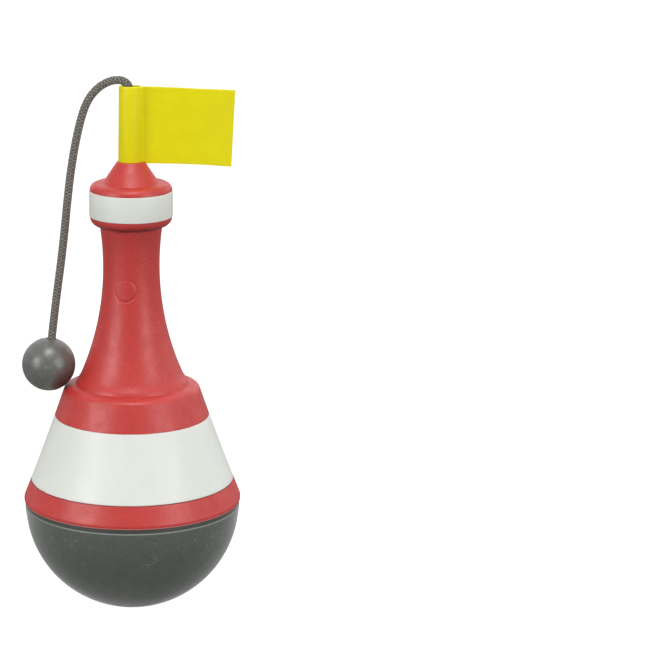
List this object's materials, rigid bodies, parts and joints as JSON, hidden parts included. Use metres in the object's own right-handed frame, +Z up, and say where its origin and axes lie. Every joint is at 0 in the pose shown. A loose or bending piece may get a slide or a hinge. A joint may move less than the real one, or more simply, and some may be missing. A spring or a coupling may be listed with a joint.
{
  "type": "floating treat toy",
  "caption": "Buoy-shaped floating treat toy: dark bowl screwed to a red hollow top with white bands, a yellow flag, and a cord with a ball.",
  "frame": {"origin": "centre of the flat foot, on the ground under the toy's axis", "axes": "+Z up along the toy's axis; +X the way the flag points, with the cord and ball on the -X side; -Y towards the viewer"},
  "size_m": [0.1194, 0.1194, 0.2951],
  "materials": {
    "shell_rubber": "fine-grained matt",
    "light_plastic": "moulded satin",
    "ballast_steel": "plain",
    "seal_rubber": "smooth",
    "red_rubber": "fine-grained satin",
    "white_rubber": "smooth matt",
    "washer_steel": "plain",
    "braided_cord": "braided",
    "ball_rubber": "satin",
    "yellow_rubber": "smooth satin"
  },
  "bodies": {
    "bowl": {"lower_shell": "shell_rubber", "bowl_liner": "light_plastic", "ballast_weight": "ballast_steel"},
    "seal": {"seal_ring": "seal_rubber"},
    "top": {"float_body": "red_rubber", "belly_band": "white_rubber", "collar_band": "white_rubber", "treat_container": "light_plastic", "knot_washer": "washer_steel"},
    "cord": {"throw_cord": "braided_cord", "cord_core": "braided_cord", "neck_knot": "braided_cord", "end_ball": "ball_rubber", "ball_knot": "braided_cord"},
    "flag": {"flag": "yellow_rubber"}
  },
  "joints": [
    {"name": "cap_twist", "type": "hinge", "parent": "bowl", "child": "seal", "pos_m": [0, 0, 0.0589], "axis": [0, 0, 1], "range_deg": [0, 1080]},
    {"name": "cap_rise", "type": "slide", "parent": "seal", "child": "top", "axis": [0, 0, 1], "range_m": [0, 0.0331]},
    {"name": "cord_swivel", "type": "hinge", "parent": "top", "child": "cord", "pos_m": [0, 0, 0.2486], "axis": [0, 0, 1], "continuous": true},
    {"name": "flag_swivel", "type": "hinge", "parent": "cord", "child": "flag", "pos_m": [0, 0, 0.2693], "axis": [0, 0, 1], "range_deg": [-150, 150]}
  ],
  "couplings": [
    {"joint": "cap_rise", "follows": "cap_twist", "m_per_rad": 0.0017507}
  ]
}
